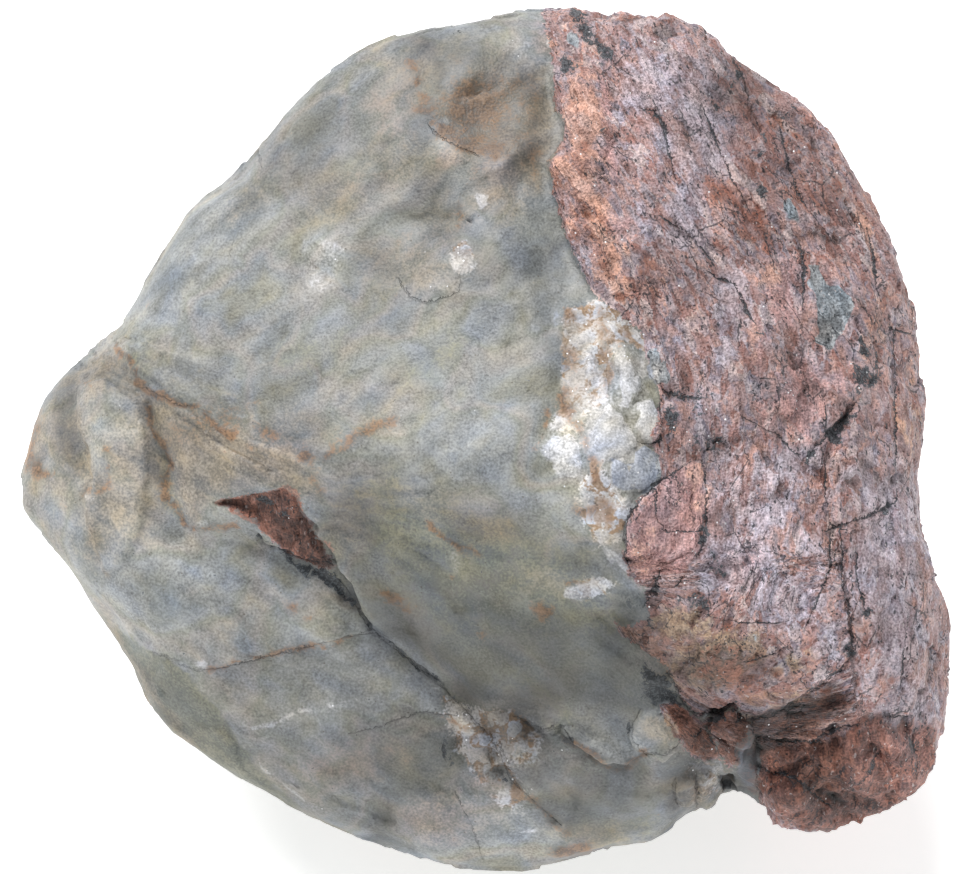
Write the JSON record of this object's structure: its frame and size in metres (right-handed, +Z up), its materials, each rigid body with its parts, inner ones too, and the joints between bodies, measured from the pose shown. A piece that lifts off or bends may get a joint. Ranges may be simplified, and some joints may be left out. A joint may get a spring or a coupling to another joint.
{
  "type": "granite rock",
  "caption": "Rounded, broken boulder of grey vein quartz grown together with pink granite, with flat break faces, a stepped crack, a notch and a flat spot to stand on.",
  "frame": {"origin": "on the ground under the middle of the stone's bounding box", "axes": "+Z up, +X along the stone's longest side from the quartz nose to the granite flank, -Y towards the side its broad quartz face leans over"},
  "size_m": [0.206, 0.1618, 0.152],
  "materials": {
    "stone": "rough broken granite and satin vein quartz"
  },
  "bodies": {
    "root": {"granite_rock": "stone"}
  },
  "joints": []
}
